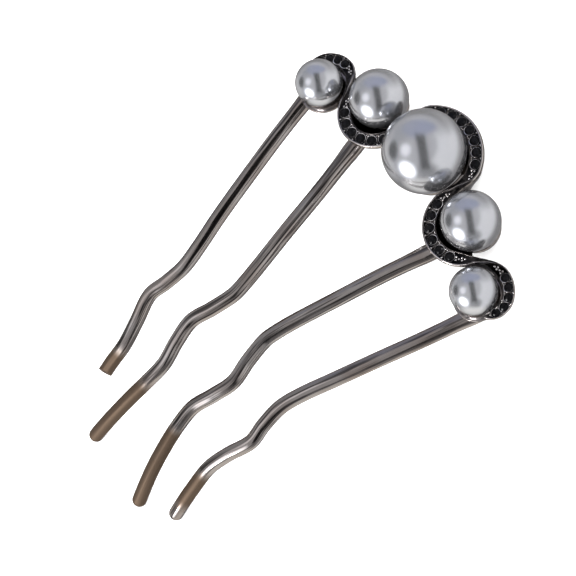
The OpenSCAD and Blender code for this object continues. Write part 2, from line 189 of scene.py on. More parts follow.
finishValues = {
    "metalLight": (0.40, 0.375, 0.36), "metalWarm": (0.31, 0.265, 0.24),  # the plating's clouds
    "metalReflectionStreak": (0.05, 0.045, 0.043),  # painted dark reflections as streaks, on the teeth drawn along them
    "metalEdgeReflection": (0.07, 0.062, 0.055),  # painted dark reflection where the plating is seen edge on
    "metalPaintedShade": (0.006, 0.006, 0.0065),  # painted shade, near black, in the hollows
    "metalRubbed": (0.52, 0.48, 0.455),  # rims and ridges, where the plating is rubbed bright
    "metalGloss": (0.07, 0.17),  # least and most roughness
    # patterns of the plating on the teeth and on the head: scale, stretch along the axes, detail
    "lines": ((7, (1, 1, 0.4), 4), (2600, (1, 0.3, 1), 4)),
    "ripples": ((1.7, (1, 1, 0.8), 2), (700, (1, 1, 1), 2)),
    "reflectionStreaks": ((2.6, (1, 1, 0.6), 3), (900, (1, 1, 1), 3)),
    "lineDepth": 0.000004, "rippleDepth": 0.00013,
    "tipTan": (0.135, 0.096, 0.068), "tipGloss": 0.62,  # tan, matt tips
    "brightCut": (0.9, 0.88, 0.86),  # collars and grains
    "pearlSilver": (0.545, 0.55, 0.57), "pearlCool": (0.495, 0.505, 0.535),  # the lacquer's clouds
    "pearlLimbReflection": (0.12, 0.12, 0.125),  # painted dark reflection where a pearl is seen edge on
    "pearlMetal": 0.96, "pearlGloss": 0.205, "pearlCoat": 0.35, "pearlCoatGloss": 0.09,
    "stoneBlack": (0.001, 0.001, 0.0012), "stoneGrey": (0.004, 0.004, 0.0045), "stoneShine": 0.12,
}


def startMaterial(name):
    material = bpy.data.materials.new(name)
    material.use_nodes = True
    nodes, links = material.node_tree.nodes, material.node_tree.links
    return material, nodes, links, nodes["Principled BSDF"]


def stretchedNoise(nodes, links, scale, stretch=(1, 1, 1), detail=3.0, drawn=False):
    # cloudy pattern in the piece's own coordinates, longer along an axis where stretch is below 1; where
    # drawn, they are the direction round a tooth and the length along it
    coordinates = nodes.new("ShaderNodeAttribute" if drawn else "ShaderNodeTexCoord")
    if drawn:
        coordinates.attribute_name = "drawn"
    mapping = nodes.new("ShaderNodeMapping")
    mapping.inputs["Scale"].default_value = stretch
    noise = nodes.new("ShaderNodeTexNoise")
    noise.inputs["Scale"].default_value = scale
    noise.inputs["Detail"].default_value = detail
    links.new(coordinates.outputs["Vector" if drawn else "Object"], mapping.inputs["Vector"])
    links.new(mapping.outputs["Vector"], noise.inputs["Vector"])
    return noise.outputs["Fac"]


def ranged(nodes, links, value, low, high, fromLow=0.3, fromHigh=0.7):
    # what lies between fromLow and fromHigh, carried evenly to between low and high
    node = nodes.new("ShaderNodeMapRange")
    node.inputs["From Min"].default_value = fromLow
    node.inputs["From Max"].default_value = fromHigh
    node.inputs["To Min"].default_value = low
    node.inputs["To Max"].default_value = high
    links.new(value, node.inputs["Value"])
    return node.outputs["Result"]


def mixed(nodes, links, share, first, second):
    # colour mix; each of first and second is a colour or a socket
    node = nodes.new("ShaderNodeMix")
    node.data_type = "RGBA"
    links.new(share, node.inputs["Factor"])
    for value, key in ((first, 6), (second, 7)):
        if isinstance(value, tuple):
            node.inputs[key].default_value = value + (1.0,)
        else:
            links.new(value, node.inputs[key])
    return node.outputs[2]


def shadeOf(nodes, label):
    # one of the shades that a piece's points carry, none where the piece has no such shade
    node = nodes.new("ShaderNodeAttribute")
    node.attribute_name = label
    return node.outputs["Fac"]


def bumped(nodes, links, height, depth, strength, under=None):
    # relief of a pattern, over the relief under it
    node = nodes.new("ShaderNodeBump")
    node.inputs["Distance"].default_value = depth
    node.inputs["Strength"].default_value = strength
    links.new(height, node.inputs["Height"])
    if under is not None:
        links.new(under, node.inputs["Normal"])
    return node.outputs["Normal"]


def gunmetalFinish(name, drawn):
    # dark polished plating: warm and cool clouds, painted dark reflections as streaks, fine polishing lines
    # and soft casting ripples, and a painted dark reflection where seen edge on; over it the tan, the bright
    # and the painted shade that the points carry
    material, nodes, links, shader = startMaterial(name)
    value = finishValues
    clouds = ranged(nodes, links, stretchedNoise(nodes, links, 160), 0, 1)
    lines, ripples, reflectionStreaks = (
        stretchedNoise(nodes, links, *value[pattern][0 if drawn else 1], drawn)
        for pattern in ("lines", "ripples", "reflectionStreaks"))
    reflectionStreaks = ranged(nodes, links, reflectionStreaks, 0, 0.85, 0.54, 0.66)
    facing = nodes.new("ShaderNodeLayerWeight")
    facing.inputs["Blend"].default_value = 0.5
    edge = ranged(nodes, links, facing.outputs["Facing"], 0, 1, 0.7, 0.95)
    tip = shadeOf(nodes, "tip")
    colour = mixed(nodes, links, clouds, value["metalLight"], value["metalWarm"])
    # painted dark reflections, as streaks
    colour = mixed(nodes, links, reflectionStreaks, colour, value["metalReflectionStreak"])
    # painted dark reflection where the plating is seen edge on
    colour = mixed(nodes, links, edge, colour, value["metalEdgeReflection"])
    colour = mixed(nodes, links, tip, colour, value["tipTan"])
    colour = mixed(nodes, links, shadeOf(nodes, "bright"), colour, value["metalRubbed"])
    # painted shade that the channel's points carry
    colour = mixed(nodes, links, shadeOf(nodes, "recess"), colour, value["metalPaintedShade"])
    links.new(colour, shader.inputs["Base Color"])
    shader.inputs["Metallic"].default_value = 1.0
    dull = nodes.new("ShaderNodeMix")
    dull.inputs[3].default_value = value["tipGloss"]
    links.new(tip, dull.inputs[0])
    links.new(ranged(nodes, links, lines, *value["metalGloss"]), dull.inputs[2])
    links.new(dull.outputs[0], shader.inputs["Roughness"])
    normal = bumped(nodes, links, ripples, value["rippleDepth"], 0.7)
    normal = bumped(nodes, links, lines, value["lineDepth"], 0.5, normal)
    links.new(normal, shader.inputs["Normal"])
    return material


def brightCutFinish():
    # the fine collars and grains that were cut bright round the stones
    material, nodes, links, shader = startMaterial("bright-cut metal")
    clouds = ranged(nodes, links, stretchedNoise(nodes, links, 900), 0, 1)
    colour = mixed(nodes, links, clouds, finishValues["brightCut"], finishValues["metalRubbed"])
    links.new(colour, shader.inputs["Base Color"])
    shader.inputs["Metallic"].default_value = 1.0
    links.new(ranged(nodes, links, clouds, 0.08, 0.2, 0, 1), shader.inputs["Roughness"])
    normal = bumped(nodes, links, stretchedNoise(nodes, links, 3500), 0.00001, 0.5)
    links.new(normal, shader.inputs["Normal"])
    return material


def pearlFinish():
    # grey nacre lacquer: silver with cool clouds, with a painted dark reflection towards the limb, under a
    # clear coat
    material, nodes, links, shader = startMaterial("pearl lacquer")
    value = finishValues
    clouds = ranged(nodes, links, stretchedNoise(nodes, links, 110), 0, 1)
    grains = stretchedNoise(nodes, links, 5200, (1, 1, 1), 2)
    limb = nodes.new("ShaderNodeLayerWeight")
    limb.inputs["Blend"].default_value = 0.25
    edge = ranged(nodes, links, limb.outputs["Facing"], 0, 1, 0.22, 0.85)
    colour = mixed(nodes, links, clouds, value["pearlSilver"], value["pearlCool"])
    # painted dark reflection towards the limb
    colour = mixed(nodes, links, edge, colour, value["pearlLimbReflection"])
    links.new(colour, shader.inputs["Base Color"])
    shader.inputs["Metallic"].default_value = value["pearlMetal"]
    gloss = value["pearlGloss"]
    links.new(ranged(nodes, links, grains, gloss - 0.02, gloss + 0.02), shader.inputs["Roughness"])
    shader.inputs["Coat Weight"].default_value = value["pearlCoat"]
    shader.inputs["Coat Roughness"].default_value = value["pearlCoatGloss"]
    links.new(bumped(nodes, links, grains, 0.000003, 0.3), shader.inputs["Normal"])
    return material


def stoneFinish():
    # black cut glass: polished facets with the faintest haze
    material, nodes, links, shader = startMaterial("black cut glass")
    haze = ranged(nodes, links, stretchedNoise(nodes, links, 1500), 0, 1)
    colour = mixed(nodes, links, haze, finishValues["stoneBlack"], finishValues["stoneGrey"])
    links.new(colour, shader.inputs["Base Color"])
    links.new(ranged(nodes, links, haze, 0.04, 0.12, 0, 1), shader.inputs["Roughness"])
    shader.inputs["IOR"].default_value = 1.45
    shader.inputs["Specular IOR Level"].default_value = finishValues["stoneShine"]
    return material


gunmetal = gunmetalFinish("gunmetal plating", False)
drawnMetal = gunmetalFinish("drawn gunmetal plating", True)
brightCut = brightCutFinish()
pearlLacquer = pearlFinish()
blackGlass = stoneFinish()
print("finishes made")


# The channel


channelValues = {
    "ringGap": {"big": 1.25, "mid": 0.9, "small": 0.95},  # pearl to the line of its stones
    "bigShift": 0.35,  # middle crescent, towards the teeth
    "midShift": 1.05,  # next crescents, towards the teeth
    "midInward": 0.75,  # and towards the middle
    "smallShift": 0.4,  # outer crescents, away from the teeth
    # where each crescent has its full width, in degrees round its pearl
    "bigEnds": (90, 38), "midEnds": (192, 308), "smallEnds": (88, -2),
    # the outer crescents draw in from curlFrom degrees on, by tailCurl at tailEnd degrees
    "curlFrom": 42, "tailEnd": -26, "tailCurl": 1.8,
    "tailRound": 1.0,  # length over which a tail narrows to its end
    "neckWidth": 1.4, "neckHeight": 3.0, "neckCrown": 0.15,
    "neckRidge": 0.22, "neckRidgeWidth": 0.2,  # the bright line across a neck, height and width
    "outerRim": 0.3, "outerRimSmall": 0.15, "innerRim": 0.2,
    # a rim's edges lie this much under the rim line, and its round rises by a length and a share of its width
    "rimSink": 0.02, "rimCrown": 0.05, "rimCrownShare": 0.3,
    "grooveDepth": 0.35, "grooveSpace": 0.11,  # depth, and the room beside a stone
    "webShare": 0.85, "bowlShare": 0.3,  # how far the walls run in, as shares of the radius of the turn
    "footFade": 3,  # how soon the inner wall draws in towards a neck, a power of the fullness
    "turnWindow": 1.6,  # length over which the tightest turn counts
    "underside": 0.05,  # the channel's back stands this much over that of the cups
    "barHeight": 0.2, "barWidth": 0.075,  # thin bars across the groove between stones
    # shares of painted shade on the walls, on a neck and on a rim that isn't rubbed, and what a bar takes
    # from it
    "innerShade": 0.9, "outerShade": 0.25, "neckShade": 0.85, "rimShade": 0.8, "barUnshaded": 0.9,
    "innerRimLight": 0.12,  # how bright the inner rim is rubbed, as a share of the outer one
    "step": 0.055,  # between sections along the line
    "floorPoints": 7, "rimPoints": 7, "wallPoints": 13,  # on each half of a section
}
stoneValues = {
    "diameter": 1.65, "smallDiameter": 1.5,
    # ring, side, first angle, angle between stones, count
    "rows": (("big", 1, 43, 14.6, 8), ("mid", -1, -55.7, -20.2, 6), ("mid", 1, -60.6, -20.6, 6),
             ("small", -1, 6, 18.6, 5), ("small", 1, 4, 19.4, 5)),
}
# walls of the channel: share of the way from rim to foot, share of the height
outerWall = ((0, 1), (-0.03, 0.9), (0.06, 0.76), (0.26, 0.54), (0.58, 0.28), (1, 0))
innerWall = ((0, 1), (0.06, 0.74), (0.3, 0.36), (0.62, 0.17), (1, 0.1))


def ringOf(kind):
    # centre and radius of the line of stones round a pearl of the right half
    value = channelValues
    node = {"big": "pearl_middle", "mid": "pearl_inner_right", "small": "pearl_outer_right"}[kind]
    centre, radius = pearls[node]
    shift = {"big": (0, -value["bigShift"]), "mid": (-value["midInward"], -value["midShift"]),
             "small": (0, value["smallShift"])}[kind]
    return centre[:2] + np.array(shift), radius + value["ringGap"][kind]


def onRing(kind, degrees, inwards=0.0):
    # points at these angles on the line of stones, moved inwards; the outer crescents draw in towards
    # their tails, with the square of the angle
    value = channelValues
    centre, radius = ringOf(kind)
    angle = np.radians(degrees)
    curl = np.maximum(0, (value["curlFrom"] - degrees) / (value["curlFrom"] - value["tailEnd"])) ** 2
    radius = radius - inwards - value["tailCurl"] * curl * (kind == "small")
    return centre + radius[..., None] * np.stack([np.cos(angle), np.sin(angle)], axis=-1)


def waveLine():
    # arcs round the pearls joined by cubic bends, the left half mirrored; columns: x, y, fullness, side
    # of the pearl, radius of the crescent, half width of the groove, width of the outer rim
    value = channelValues
    halfGroove = stoneValues["diameter"] / 2 + value["grooveSpace"]
    halfSmall = stoneValues["smallDiameter"] / 2 + value["grooveSpace"]
    widths = {"big": (halfGroove, value["outerRim"]), "mid": (halfGroove, value["outerRim"]),
              "small": (halfSmall, value["outerRimSmall"])}

    def columns(points, full, side, kind):
        radius = ringOf(kind)[1]
        rest = np.stack(np.broadcast_arrays(full, side, radius, widths[kind][0], widths[kind][1]), axis=-1)
        return np.concatenate([points, np.broadcast_to(rest, (len(points), 5))], axis=1)

    def arc(kind, ends, side):
        radius = ringOf(kind)[1]
        count = int(abs(math.radians(ends[1] - ends[0])) * radius / value["step"])
        angles = np.linspace(ends[0], ends[1], count)
        return columns(onRing(kind, angles), np.ones(count), side, kind)

    def bend(first, firstEnd, firstSide, second, secondEnd, secondSide):
        p = onRing(first, np.array(firstEnd))
        q = onRing(second, np.array(secondEnd))
        a, b = math.radians(firstEnd), math.radians(secondEnd)
        reach = np.linalg.norm(q - p)
        d = firstSide * reach * np.array([-math.sin(a), math.cos(a)])
        e = secondSide * reach * np.array([-math.sin(b), math.cos(b)])
        u = np.linspace(0, 1, int(reach * 1.1 / value["step"]))[1:-1, None]
        points = ((2 * u ** 3 - 3 * u ** 2 + 1) * p + (u ** 3 - 2 * u ** 2 + u) * d
                  + (3 * u ** 2 - 2 * u ** 3) * q + (u ** 3 - u ** 2) * e)
        full = np.cos(np.pi * u[:, 0]) ** 2
        near = u[:, 0] < 0.5
        return np.concatenate([columns(points[near], full[near], firstSide, first),
                               columns(points[~near], full[~near], secondSide, second)])

    def tail():
        # the outer crescent carried on, while its fullness falls evenly to none
        start, end = value["smallEnds"][1], value["tailEnd"]
        u = np.linspace(0, 1, int(abs(math.radians(end - start)) * ringOf("small")[1] / value["step"]))[1:]
        points = onRing("small", start + (end - start) * u)
        return columns(points, 1 - u, -1, "small")

    right = np.concatenate([
        arc("big", value["bigEnds"], -1),
        bend("big", value["bigEnds"][1], -1, "mid", value["midEnds"][0], 1),
        arc("mid", value["midEnds"], 1),
        bend("mid", value["midEnds"][1], 1, "small", value["smallEnds"][0], -1),
        arc("small", value["smallEnds"], -1), tail()])
    left = right[:0:-1] * np.array([-1, 1, 1, 1, 1, 1, 1])
    return np.concatenate([left, right])


def stoneSize(kind):
    return stoneValues["smallDiameter" if kind == "small" else "diameter"]


def stoneSpots():
    # places of the stones' axes: x, y, diameter, row, ring angle
    spots = []
    for number, (kind, side, first, pitch, count) in enumerate(stoneValues["rows"]):
        angles = first + pitch * np.arange(count)
        points = onRing(kind, angles) * np.array([side, 1])
        sizes, rows = np.full(count, stoneSize(kind)), np.full(count, number)
        spots.append(np.column_stack([points, sizes, rows, angles]))
    return np.concatenate(spots)


def betweenStones():
    # the middle between two neighbours of a row, its direction across the row, away from the pearl, and
    # half the width of the groove
    spots = []
    for kind, side, first, pitch, count in stoneValues["rows"]:
        mirrored = np.array([side, 1])
        angles = first + pitch * (np.arange(count - 1) + 0.5)
        across = np.stack([np.cos(np.radians(angles)), np.sin(np.radians(angles))], axis=-1) * mirrored
        half = np.full(len(angles), stoneSize(kind) / 2 + channelValues["grooveSpace"])
        spots.append(np.column_stack([onRing(kind, angles) * mirrored, across, half]))
    return np.concatenate(spots)


def wallCurve(rows, count):
    # a wall's rows as a smooth run of points, cubic between rows
    table = np.array(rows, float)
    u = np.linspace(0, 1, count)
    place = np.linspace(0, 1, len(table))
    return np.stack([tableCurve(np.stack([place, table[:, k]], axis=1), u) for k in (0, 1)], axis=1)


def tableCurve(rows, u):
    # cubic pieces through the rows (place, value), whose slope at a row is that of the line between its
    # neighbours; straight before the first row
    table = np.array(rows, float)
    place, value = table[:, 0], table[:, 1]
    order = np.arange(len(table))
    before, after = np.maximum(order - 1, 0), np.minimum(order + 1, len(table) - 1)
    slope = (value[after] - value[before]) / (place[after] - place[before])
    i = np.clip(np.searchsorted(place, u, side="right") - 1, 0, len(table) - 2)
    h = place[i + 1] - place[i]
    v = (u - place[i]) / h
    inside = ((2 * v ** 3 - 3 * v ** 2 + 1) * value[i] + (v ** 3 - 2 * v ** 2 + v) * h * slope[i]
              + (3 * v ** 2 - 2 * v ** 3) * value[i + 1] + (v ** 3 - v ** 2) * h * slope[i + 1])
    return np.where(u < place[0], value[0] + slope[0] * (u - place[0]), inside)


def tightestTurn(run, tangent):
    # radius of the turn along the line: length over change of direction, the least within the window
    # round each place, then averaged over the window
    angle = np.unwrap(np.arctan2(tangent[:, 1], tangent[:, 0]))
    bend = np.abs(np.gradient(angle) / np.gradient(run))
    window = int(channelValues["turnWindow"] / 2 / channelValues["step"])
    padded = np.pad(bend, window, mode="edge")
    bend = np.lib.stride_tricks.sliding_window_view(padded, 2 * window + 1).max(axis=1)
    padded = np.pad(bend, window, mode="edge")
    bend = np.lib.stride_tricks.sliding_window_view(padded, 2 * window + 1).mean(axis=1)
    return 1 / np.maximum(bend, 1e-3)


def channelPiece():
    # section of the channel carried along its line: grooved floor, two rims, a wall that runs in under
    # the pearl and a bowl-shaped one outside; where not full it is a narrower crowned neck with a ridge
    value = channelValues
    line = waveLine()
    x, y, full, side, ring, groove, outerRim = (line[:, k, None] for k in range(7))
    run = np.concatenate([[0], np.cumsum(np.hypot(*np.diff(line[:, :2], axis=0).T))])
    tangent = np.gradient(line[:, :2], axis=0)
    tangent /= np.linalg.norm(tangent, axis=1, keepdims=True)
    ring = np.minimum(ring, tightestTurn(run, tangent)[:, None])
    high = rimAt(x)
    base = (1 - full) * (high - value["neckHeight"]) + value["underside"]

    def half(rim, foot, wall, wallShade, outside):
        # from the middle of the floor out over the rim and down the wall: distance, height, painted shade,
        # bright
        edge = full * (groove + rim) + (1 - full) * value["neckWidth"] / 2
        inner = edge - rim
        v = np.linspace(0, 1, value["floorPoints"])[None, :]
        # the bright line crosses a neck from the outer rim of one crescent to that of the next
        ridge = np.exp(-((v * inner / edge - outside * np.sqrt(full)) / value["neckRidgeWidth"]) ** 2)
        crown = value["neckCrown"] * (1 - v ** 2) + value["neckRidge"] * ridge
        floorZ = high - value["grooveDepth"] * full + (1 - full) * crown
        # the rim is half a round, flattened
        angle = np.linspace(0, np.pi, value["rimPoints"])[None, :]
        rise = value["rimCrown"] + value["rimCrownShare"] * rim
        rimQ = edge - rim / 2 - rim / 2 * np.cos(angle)
        rimZ = high - value["rimSink"] + rise * np.sin(angle)
        # the wall runs from the rim's edge to its foot, which draws in towards a neck
        steps = wallCurve(wall, value["wallPoints"])[None, 1:]
        near = full ** (1 if outside > 0 else value["footFade"])
        footQ = near * foot + (1 - near) * value["neckWidth"] / 2
        wallQ = edge + (footQ - edge) * steps[..., 0]
        wallZ = base + (high - value["rimSink"] - base) * steps[..., 1]
        # a crescent's rim is rubbed bright where it is more than a third full; painted shade grows down the
        # walls
        rubbed = np.clip(3 * full - 1, 0, 1) * (1 if outside > 0 else value["innerRimLight"])
        down = np.clip(steps[..., 1] * -3 + 2.95, 0, 1)
        onRim = np.ones(rimQ.shape)
        shadeShare = np.concatenate([
            full + (1 - full) * value["neckShade"] * (1 - ridge), value["rimShade"] * (1 - rubbed) * onRim,
            down * (wallShade * full + value["neckShade"] * (1 - full))], axis=1)
        light = np.concatenate([(1 - full) * ridge, rubbed * onRim, np.zeros(wallQ.shape)], axis=1)
        distance = np.concatenate([inner * v, rimQ, wallQ], axis=1)
        height = np.concatenate([floorZ, rimZ, wallZ], axis=1)
        return distance, height, shadeShare, light

    innerHalf = half(value["innerRim"], ring * value["webShare"], innerWall, value["innerShade"], -1)
    outerHalf = half(outerRim, -ring * value["bowlShare"], outerWall, value["outerShade"], 1)
    left = [np.where(side > 0, a, b) for a, b in zip(innerHalf, outerHalf)]
    right = [np.where(side > 0, b, a) for a, b in zip(innerHalf, outerHalf)]
    q = np.concatenate([-right[0][:, :0:-1], left[0]], axis=1)
    z, shadeShare, light = (np.concatenate([right[k][:, :0:-1], left[k]], axis=1) for k in (1, 2, 3))
    # a tail narrows to its end as a quarter round
    toEnd = np.minimum(run, run[-1] - run)[:, None]
    share = np.sqrt(np.clip(1 - (1 - toEnd / value["tailRound"]).clip(0, 1) ** 2, 0.02, 1))
    px = x - tangent[:, 1, None] * q * share
    py = y + tangent[:, 0, None] * q * share
    # thin bars stand across the groove between the stones, and take less of the painted shade
    bars = betweenStones()
    gap = np.min(np.hypot(x - bars[None, :, 0], y - bars[None, :, 1]), axis=1)[:, None]
    bar = np.exp(-(gap / value["barWidth"]) ** 2)
    middle = value["floorPoints"] + value["rimPoints"] + value["wallPoints"] - 2
    onFloor = np.abs(np.arange(q.shape[1]) - middle)[None, :] < value["floorPoints"]
    z = z + np.where(onFloor, value["barHeight"] * bar, 0)
    shadeShare = shadeShare * np.where(onFloor, 1 - value["barUnshaded"] * bar, 1)
    rings = clearOfPearls(np.stack([px, py, z], axis=-1))
    points, walls, ends = tubePart(rings)
    recess, bright = (np.concatenate([shade.ravel(), [0, 0]]) for shade in (shadeShare, light))
    return meshPiece("channel", points, [walls, ends], gunmetal, recess=recess, bright=bright)


channel = channelPiece()
print("channel made:", len(channel.data.polygons), "faces")


# Cups and pegs under the pearls


cupValues = {
    "lip": 0.66, "back": 0.5,  # height of the lip under the pearl's middle and radius of the back, as shares
    "wall": 0.35, "smallBrim": 0.9,  # metal outside the pearl at the lip, and what outer cups have more
    "lipRound": 0.12,
    "pegDiameter": 1.2, "pegLength": 2.5, "pegGap": 0.1, "pegEdge": 0.1,
    "around": 96,
}


def revolved(profile, centre, around):
    # a profile of (radius, height) turned round the vertical through centre, its ends on the axis as poles
    profile = np.asarray(profile, float)
    angle = np.linspace(0, 2 * np.pi, around, endpoint=False)
    body = profile[1:-1]
    rings = np.stack([
        centre[0] + body[:, 0, None] * np.cos(angle), centre[1] + body[:, 0, None] * np.sin(angle),
        centre[2] + np.broadcast_to(body[:, 1, None], (len(body), around))], axis=-1)
    poles = [np.array([centre[0], centre[1], centre[2] + end[1]]) for end in (profile[0], profile[-1])]
    return tubePart(rings, poles)


def cupPart(name):
    # from the middle of the back out and up a bowl, over a soft lip, down the pearl's own curve and up
    # the peg; the bowl goes out with the sine of a quarter turn and up with one less its cosine, each to
    # a power near one
    value = cupValues
    centre, radius = pearls[name]
    seat = centre[2] - radius
    brim = value["smallBrim"] if "outer" in name else 0
    free = radius + headValues["pearlGap"]
    soft, pegEdge = value["lipRound"], value["pegEdge"]
    lipZ = -radius * value["lip"]
    lipR = radius * math.sqrt(1 - value["lip"] ** 2) + value["wall"] + brim
    backR = radius * value["back"]
    low = -radius - seat
    quarter = np.linspace(0, 1, 14)[:, None] * np.pi / 2
    out = backR + (lipR - backR) * np.sin(quarter) ** 0.9
    up = low + (lipZ - soft - low) * (1 - np.cos(quarter)) ** 0.8
    turn = np.linspace(0, np.pi / 2, 5)[1:, None]
    lip = np.hstack([lipR - soft + soft * np.cos(turn), lipZ - soft + soft * np.sin(turn)])
    lipAngle = math.acos(value["lip"] * radius / free)
    pegR = value["pegDiameter"] / 2
    seatAngle = np.linspace(lipAngle, math.asin(pegR / free), 12)[:, None]
    hollow = np.hstack([free * np.sin(seatAngle), -free * np.cos(seatAngle)])
    pegTop = -radius - seat / 2 + value["pegLength"]
    peg = [[pegR, pegTop - pegEdge], [pegR - pegEdge, pegTop], [0, pegTop]]
    profile = np.concatenate([[[0, low], [backR * 0.6, low]], np.hstack([out, up]), lip, hollow, peg])
    return revolved(profile, centre, value["around"])


points, faces = joined([cupPart(name) for name in pearls])
cups = meshPiece("cups", points, faces, gunmetal)
print("cups made")


# Teeth


toothValues = {
    "rootDiameter": 2.7, "tipDiameter": 2.5,
    "outerReach": 59.4, "innerReach": 63.4,
    # the roots of the right teeth: the outer one from the outer pearl's centre and foot, the inner one
    # from the foot of the crescent beside the middle one
    "outerRootOut": 1.45, "outerRootIn": 1.3, "innerRootIn": 1.55, "innerRootBelow": 2.15,
    "outerRootZ": 0.5, "innerRootZ": 1.1,
    "outerSink": 1.2, "innerSink": 2.7,  # how far a tooth runs back into the head
    "fall": 0.08,  # for each millimetre of reach
    "tipBend": 12.6, "bendPower": 4,  # how far the inner tips bend down besides, and with which power
    "web": 0.2, "webLength": 5.0,  # how much a root is wider to each side, and how far
    # drawn flats along a tooth: count round it, depth as a share of its radius, turns along its length
    "flats": ((3, 0.016, 0.06), (5, 0.014, -0.1), (9, 0.009, 0.12)),
    "flatsApart": 2.1,  # they are turned this far on the right teeth, and back on the left
    "flatsFade": 6,  # length before the end over which they fade
    "drawnShare": 0.05, "drawnApart": 6.0,  # pattern length for each millimetre, and its shift between teeth
    # distance from an uncut tip at which the plating turns tan, and the length of the change
    "tanOuter": 9.6, "tanInner": 14.2, "tanChange": 2.4,
    # the whole outer tooth is bare again for bareFrom of this length, and tan after one length more
    "bareEnd": 2.4, "bareFrom": 0.3,
    "cut": 3.6, "cutSlant": 25, "cutEase": 5,  # length cut off, angle, length over which the rings turn to it
    "cutEdge": ((0.985, 0.03), (0.95, 0.055), (0.9, 0.06), (0.45, 0.06)),  # rings on the cut: size, height
    "along": 260, "around": 72,
}
# waves of the teeth: share of the reach, distance from the middle as a share of the root's
outerWave = ((0, 1), (0.135, 0.918), (0.269, 0.827), (0.404, 0.734), (0.505, 0.66), (0.572, 0.626),
             (0.64, 0.636), (0.698, 0.657), (0.774, 0.596), (0.842, 0.554), (0.91, 0.552), (1, 0.55))
innerWave = ((0, 1), (0.126, 0.824), (0.252, 0.671), (0.379, 0.511), (0.442, 0.448), (0.473, 0.441),
             (0.536, 0.503), (0.599, 0.586), (0.663, 0.517), (0.726, 0.417), (0.789, 0.43), (0.852, 0.477),
             (0.915, 0.534), (1, 0.625))


def toothRoots():
    # where the outer and the inner right tooth leave the head
    value = toothValues
    outerCentre, outerRadius = pearls["pearl_outer_right"]
    ringCentre, ringRadius = ringOf("mid")
    return (outerCentre[:2] + np.array([value["outerRootOut"], value["outerRootIn"] - outerRadius]),
            ringCentre - np.array([value["innerRootIn"], ringRadius + value["innerRootBelow"]]))


def outerBend():
    # the outer teeth bend until their tips touch the table too, on which the back of the middle crescent
    # and the inner tips lie
    value = toothValues
    outerRoot, innerRoot = toothRoots()
    tip = value["tipDiameter"] / 2
    centre, radius = ringOf("big")
    foot = centre[1] + radius * (1 - channelValues["bowlShare"])
    span = foot - (innerRoot[1] - value["innerReach"])
    innerTipZ = value["innerRootZ"] - value["fall"] * value["innerReach"] - value["tipBend"]
    lie = -math.asin(tip / math.hypot(span, innerTipZ)) - math.atan2(-innerTipZ, span)
    outerTipZ = ((foot - outerRoot[1] + value["outerReach"]) * math.sin(lie) + tip) / math.cos(lie)
    return value["outerRootZ"] - value["fall"] * value["outerReach"] - outerTipZ


def toothPlace(outer):
    # root, wave, reach, height of the root, bend of the tip and how far back it runs
    value = toothValues
    outerRoot, innerRoot = toothRoots()
    if outer:
        return (outerRoot, outerWave, value["outerReach"], value["outerRootZ"], outerBend(),
                value["outerSink"])
    return (innerRoot, innerWave, value["innerReach"], value["innerRootZ"], value["tipBend"],
            value["innerSink"])


def ballTip(tip, forward, radius, arms):
    # half a ball: forward with the sine of a rising angle, while the last ring shrinks with its cosine
    angle = np.linspace(0, np.pi / 2, 16)[1:-1, None, None]
    return tip + forward * radius * np.sin(angle) + arms * np.cos(angle), tip + forward * radius


def slantTip(tip, rings, arms, tangent, toEnd):
    # the last rings slide along the tooth until the end one lies in the plane of the cut, then shrink
    # over its edge
    value = toothValues
    slant = math.radians(value["cutSlant"])
    face = np.array([math.sin(slant), -math.cos(slant), 0])
    ease = np.clip(1 - toEnd / value["cutEase"], 0, 1) ** 2
    slide = -(arms @ face) / (tangent @ face)[:, None]
    rings = rings + (slide * ease[:, None])[..., None] * tangent[:, None]
    rim = rings[-1] - tip
    cap = np.stack([tip + rim * size + face * height for size, height in value["cutEdge"]])
    return rings, cap, tip + face * value["cutEdge"][-1][1]


